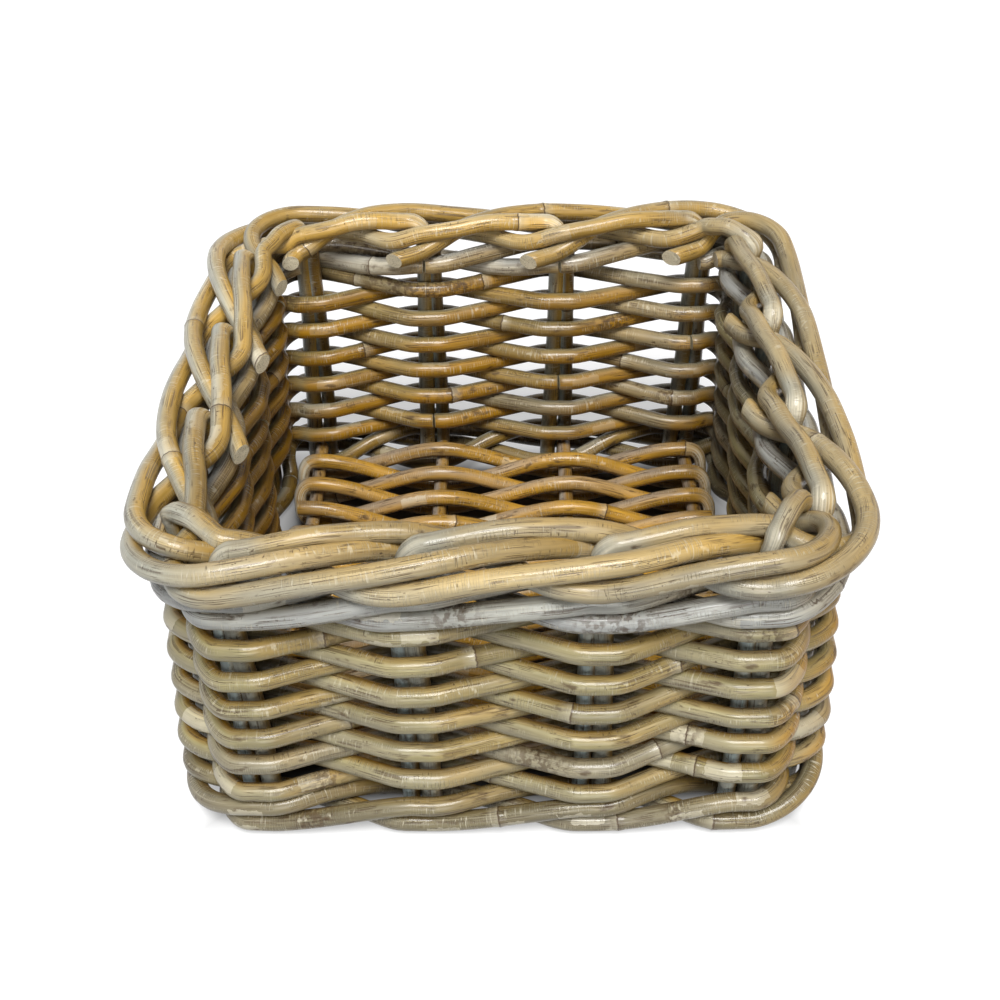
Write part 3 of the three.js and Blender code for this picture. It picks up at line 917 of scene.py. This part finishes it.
def wale_course(low, high, inside, first_pair):
    """The course of one cane of a wale, from behind its first pair once round the wall."""
    course = [(pair_arc(first_pair) + end_gap, -wale_offset, inside, first_pair)]
    climb = (
        (-0.5, high), (0, inside), (0.5, low), (1.05, low),
        (1.95, high), (2.5, high), (3, inside), (3.5, low),
    )
    for interval in range(pair_count - 1):
        leaves = pair_arc(first_pair + interval) + pair_half
        arrives = pair_arc(first_pair + interval + 1) - pair_half
        turn = interval % 3
        for step in range(path_steps + 1):
            part = step / path_steps
            if turn == 1:
                offset = wale_offset + wale_bulge * math.sin(math.pi * part)
            else:
                offset = wale_offset * (2 * soft_step(part, wale_bend) - 1) * (1 if turn == 0 else -1)
            arc = leaves + (arrives - leaves) * part
            course.append((arc, offset, through(climb, turn + part), first_pair + interval + part))
    course.append((pair_arc(first_pair + pair_count - 1) - end_gap, -wale_offset, inside, first_pair - 1))
    return course


def add_wale(prefix, first_pair, finish, inside_share, casts, joints, marks):
    low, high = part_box(f"{prefix}_1")
    low_height = low.z + wale_diameter / 2
    high_height = high.z - wale_diameter / 2
    inside = low_height + (high_height - low_height) * inside_share
    for rod, cast in enumerate(casts):
        course = wale_course(low_height, high_height, inside, first_pair + rod)
        points, outs, stations, sides = laid_in_wall(course, wale_offset, wale_crevice_shade)
        add_cane(
            f"{prefix}_{rod + 1}", points, wale_diameter, finish, "wale_rattan", outs, cast=cast,
            joints=joints_at(stations, joints[rod]), scars=scars_at(stations, marks[rod]), sides=sides,
        )


wale_finish = cane_finish("wale_cane", 0x7A7050, 0x8A6C2C, grey=0x807864, Crazing=1.0, Flakes=0.08)
# Of each cane: its lightness and greyness, and where its joints and its rough, dark stretches lie, in pairs
bottom_wale_casts = ((1.0, 0.15), (0.95, 0.1), (1.02, 0.35))
bottom_wale_joints = ((2.92, 7.3, 11.6), (1.45, 5.4, 9.6), (2.15, 8.4, 14.2))
bottom_wale_marks = (((0.3, 0.15), (9.5, 0.4)), ((10.2, 0.4), (3.2, 0.1)), ((2.6, 0.1), (8.6, 0.2)))
add_wale(
    "bottom_wale_rod", first_pair=12, finish=wale_finish, inside_share=0.0, casts=bottom_wale_casts,
    joints=bottom_wale_joints, marks=bottom_wale_marks,
)


# The rows of the wall: single canes, one to a row, woven in and out of the pairs. Each lies outside the
# pairs that its neighbours pass inside, and its two ends meet behind a pair.
row_diameter = 10 * mm
row_offset = (stake_diameter + row_diameter) / 2 + clearance
row_bend = 0.13
row_wander_mm = 0.9
# How much painted shade the rows' crevices get
row_crevice_shade = 1.0
pairs_between_ends = 5
back_zone = (90 * mm, 130 * mm)
right_zone = (10 * mm, 110 * mm)
back_right_greyness = 0.8
row_finish = cane_finish("row_cane", 0x948A60, 0x9A7016, grey=0x948C76)
# The lightness and greyness of each row
row_casts = (
    (0.98, 0.2), (1.0, 0.0), (0.95, 0.75), (1.04, 0.0), (0.97, 0.1), (1.0, 0.15),
    (0.94, 0.0), (1.05, 0.1), (0.98, 0.0), (1.06, 0.1), (0.96, 0.0), (1.0, 0.3),
)
# Where each row's joints and its rough, dark stretches lie, in pairs from the front left one
row_joints = (
    (1.4, 6.3, 13.2), (2.75, 5.6, 11.3), (2.4, 7.4, 12.6), (2.62, 8.05, 9.9),
    (0.6, 5.2, 14.4), (3.3, 8.5, 13.7), (1.9, 6.8, 10.6), (0.2, 4.4, 12.2),
    (2.5, 9.4, 14.1), (1.3, 7.1, 11.7), (0.52, 6.1, 10.2), (3.1, 9.6, 10.6),
)
row_marks = {
    0: ((0.4, 0.1),), 2: ((1.7, 0.2),), 3: ((2.66, 0.07), (9.9, 0.1), (8.1, 0.08)),
    4: ((5.5, 0.3),), 5: ((3.2, 0.1),), 7: ((0.2, 0.1), (10.8, 0.2)), 8: ((8.6, 0.2),),
    10: ((0.5, 0.08), (11.2, 0.2)), 11: ((10.1, 0.6), (3.0, 0.1)),
}

for row, cast in enumerate(row_casts):
    node = f"row_rod_{row + 1:02d}"
    height = middle(node).z
    first_pair = pairs_between_ends * (row + 1) % pair_count
    rises = [chance.uniform(-row_wander_mm, row_wander_mm) * mm for _ in range(pair_count)]
    end_height = height + rises[first_pair]
    course = [(pair_arc(first_pair) + end_gap, -row_offset, end_height, first_pair)]
    for pair in range(first_pair, first_pair + pair_count):
        side = 1 if pair % 2 == row % 2 else -1
        leaves = pair_arc(pair) + pair_half
        arrives = pair_arc(pair + 1) - pair_half
        rise = rises[pair % pair_count]
        next_rise = rises[(pair + 1) % pair_count]
        for step in range(path_steps + 1):
            part = step / path_steps
            arc = leaves + (arrives - leaves) * part
            offset = side * row_offset * (1 - 2 * soft_step(part, row_bend))
            course.append((arc, offset, height + rise + (next_rise - rise) * ease(part), pair + part))
    course.append((pair_arc(first_pair + pair_count) - end_gap, -row_offset, end_height, first_pair))
    points, outs, stations, sides = laid_in_wall(course, row_offset, row_crevice_shade)
    back_right = [step_in(point.y, *back_zone) * step_in(point.x, *right_zone) for point in points]
    add_cane(
        node, points, row_diameter, row_finish, "weave_rattan", outs, cast=cast,
        joints=joints_at(stations, row_joints[row]), scars=scars_at(stations, row_marks.get(row, ())),
        weathering=[cast[1] + back_right_greyness * share for share in back_right], sides=sides,
    )


# The top wale: the same round of three canes under the rim, which locks the rows down and holds the stakes
# apart for the border. It has weathered to a cool grey-white.
top_wale_finish = cane_finish(
    "top_wale_cane", 0xBEBDB0, 0xA0885A, grey=0xA2A4A4, Crazing=1.0, Streaks=0.9, Flakes=0.08,
)
top_wale_casts = ((1.0, 0.3), (1.04, 0.1), (0.97, 0.45))
top_wale_joints = ((3.55, 9.8, 13.4), (6.2, 10.4, 0.62), (5.3, 8.6, 12.1))
top_wale_marks = (
    ((2.4, 0.12), (10.4, 0.5)), ((2.5, 0.1), (1.2, 0.15), (9.7, 0.3)), ((2.1, 0.2), (11.3, 0.3)),
)
add_wale(
    "top_wale_rod", first_pair=9, finish=top_wale_finish, inside_share=0.7, casts=top_wale_casts,
    joints=top_wale_joints, marks=top_wale_marks,
)


# The border: the other stake of each pair bends over at the rim, runs along the inner edge past one pair,
# dives and comes out over the wale, climbs outside two more pairs, and goes in under the top to its cut end
# inside. The knuckle of the bend is crushed and has weathered grey.
bend_radius = 7 * mm
bend_steps = 10
rise_steps = 36
bend_run = 1.3 * bend_radius
corner_crossing = (0.75, 1.15)
border_cut_slant = 0.8
border_lightness = (0.93, 1.07)
# Painted light: the canes that start about the back left corner are painted the palest, and those of the
# front and right darker, as the light falls on the rim.
border_painted_light_shares = (0.9,) * 9 + (1.16,) * 4 + (0.98,) * 3
border_greys = (0.0, 0.0, 0.1, 0.2)
stem_grey = 0.9
stem_top = bypass_top - 8 * mm
knuckle_grey = 0.6
knuckle_reach = 24 * mm
knuckle_core = 10 * mm
# The places, in pairs from the stake's own one, and there the distance outside the wall's line and the
# height above the other stakes' tops, both in stake diameters
border_course = (
    (0.12, 0, 1.4), (0.5, -0.45, 1.65), (0.75, -0.8, 1.45), (1.0, -1.0, 1.2), (1.25, -0.95, 0.65),
    (1.5, 0.25, 0.45), (1.75, 1.45, 0.4), (2.0, 1.8, 0.45), (2.5, 1.8, 1.15), (3.0, 1.55, 1.6),
    (3.25, 1.2, 1.65), (3.5, 0.6, 1.5), (3.75, -0.2, 1.0), (4.0, -1.25, 0.2), (4.22, -1.95, 0.0),
)
border_offsets = [(station, offset * stake_diameter) for station, offset, _ in border_course]
border_heights = [(station, bypass_top + rise * stake_diameter) for station, _, rise in border_course]
bend_top = border_heights[0][1]
tail_end = border_course[-1][0]
border_finish = cane_finish("border_cane", 0xB6A276, 0xB28E44, grey=0xA4A69C, Flakes=0.04, Stains=0.2)


def border_path(pair):
    """The middle line of one border stake from the floor to its cut end, the way out of the basket along it,
    and the crush of its bend. At a corner it crosses over straight to the next wall."""
    points = []
    outs = []
    presses = []
    head = pair_arc(pair)
    spacing = pair_arc(pair + 1) - head
    starts = in_wall(head, 0, bend_top)[0]
    inner = in_wall(head + spacing, through(border_offsets, 1), bend_top)[0]
    turns_corner = (pair + 1) % pairs_per_side == 0

    def add(arc, offset, height, bent=0.0):
        point, out = in_wall(arc, offset, height)
        travel = (arc - head) / spacing
        if turns_corner and height > straight_top:
            straight = starts.lerp(inner, travel)
            crossing = 1 - step_in(travel, *corner_crossing)
            point.xy = point.xy.lerp(straight.xy, crossing)
            point.z += crossing * (starts.z - in_wall(arc, 0, bend_top)[0].z)
        points.append(point)
        outs.append(out)
        away = upwards * math.sin(bent) - upwards.cross(out) * math.cos(bent)
        presses.append(away * math.sin(2 * bent))

    straight_top = bend_top - bend_radius
    for step in range(rise_steps):
        above = step / rise_steps
        add(head + pair_half * (1 - ease(above)), 0, straight_top * above)
    for step in range(bend_steps):
        bent = step / bend_steps * math.pi / 2
        add(head + bend_radius * (1 - math.cos(bent)), 0, straight_top + bend_radius * math.sin(bent), bent)
    bend_ends = bend_run / spacing
    steps = round(tail_end * path_steps)
    for step in range(steps + 1):
        travel = bend_ends + (tail_end - bend_ends) * step / steps
        add(station_arc(pair + travel), through(border_offsets, travel), through(border_heights, travel))
    return points, outs, presses


for pair in range(pair_count):
    points, outs, presses = border_path(pair)
    greyness = chance.choice(border_greys)
    # Painted light: each border cane's lightness carries the light on its part of the rim
    lightness = chance.uniform(*border_lightness) * border_painted_light_shares[pair]
    knuckle = points[rise_steps + bend_steps // 2]
    weathering = []
    for step, point in enumerate(points):
        near_knuckle = step_in((point - knuckle).length, knuckle_reach, knuckle_core)
        in_stem = step < rise_steps and point.z < stem_top
        weathering.append(stem_grey if in_stem else greyness + knuckle_grey * near_knuckle)
    add_cane(
        "border_stake_" + stake_name(pair), points, stake_diameter, border_finish, "border_rattan",
        outs, presses, cast=(lightness, 0.0), weathering=weathering,
        sides=[stake_crevice_shade if point.z < bypass_top else 0.0 for point in points],
        **{"Cut Slant": border_cut_slant},
    )
